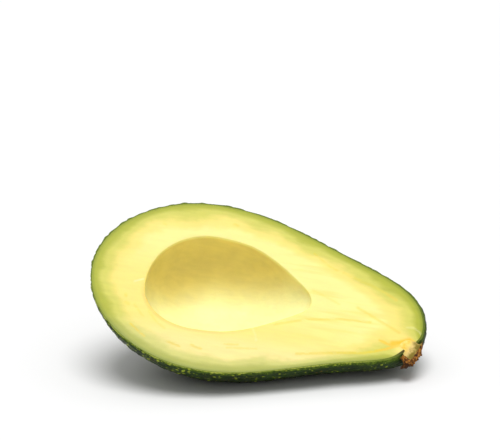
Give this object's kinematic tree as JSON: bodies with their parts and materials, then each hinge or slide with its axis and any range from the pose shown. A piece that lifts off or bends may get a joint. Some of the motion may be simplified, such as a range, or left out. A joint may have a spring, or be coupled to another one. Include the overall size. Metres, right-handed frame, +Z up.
{
  "type": "avocado half",
  "caption": "Pear-shaped avocado cut in half lengthwise: thin pebbled peel, soft flesh with an open stone hollow, and a torn stem stub. It lies on a flat spot with its cut face tilted up.",
  "frame": {"origin": "on the surface that the half lies on, under the middle of its bounding box", "axes": "+X along the fruit towards the stem end, +Y to the back, so that the cut face looks up and towards -Y, +Z up"},
  "size_m": [0.1208, 0.0606, 0.0558],
  "materials": {
    "peel": "dark green pebbled skin with small yellow-green specks, waxy and glossy",
    "flesh": "moist, smooth cut flesh, pale yellow inside and lime green under the peel",
    "stem": "dry, rough and torn, tan to dark brown"
  },
  "bodies": {
    "root": {"peel": "peel", "flesh": "flesh", "stem": "stem"}
  },
  "joints": []
}
